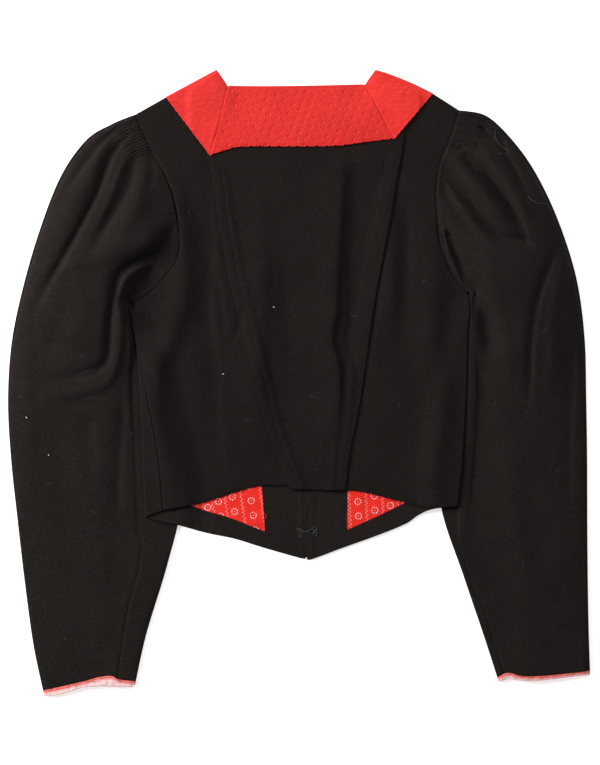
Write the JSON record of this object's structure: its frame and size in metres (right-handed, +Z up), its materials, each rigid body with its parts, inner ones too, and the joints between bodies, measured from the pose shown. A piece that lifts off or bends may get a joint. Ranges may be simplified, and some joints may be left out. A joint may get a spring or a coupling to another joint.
{
  "type": "bolero jacket",
  "caption": "Short fitted jacket with full leg-of-mutton sleeves, a contrasting shoulder yoke and a pointed front, laid flat with its back up.",
  "frame": {"origin": "middle of the jacket's outline, on the surface it lies on", "axes": "+X to the right and +Y from the hem to the neck as the jacket lies with its back up, +Z up from the surface"},
  "size_m": [0.64, 0.6882, 0.0273],
  "materials": {
    "black_wool": "matte woollen cloth with a slight nap",
    "red_yoke_cloth": "matte plain weave, quilted in the middle",
    "printed_lining": "smooth cotton with a white and grey print",
    "cuff_edging": "smooth lining cloth",
    "hook_wire": "black japanned wire"
  },
  "bodies": {
    "root": {"back_centre": "black_wool", "back_side_left": "black_wool", "back_side_right": "black_wool", "front_left": "black_wool", "front_right": "black_wool", "front_facing_left": "black_wool", "front_facing_right": "black_wool", "hem_facing_left": "black_wool", "hem_facing_right": "black_wool", "lining_left": "printed_lining", "lining_right": "printed_lining", "yoke_centre": "red_yoke_cloth", "yoke_left": "red_yoke_cloth", "yoke_right": "red_yoke_cloth", "sleeve_left": "black_wool", "sleeve_right": "black_wool", "cuff_edge_left": "cuff_edging", "cuff_edge_right": "cuff_edging", "hook": "hook_wire", "eye": "hook_wire"}
  },
  "joints": []
}
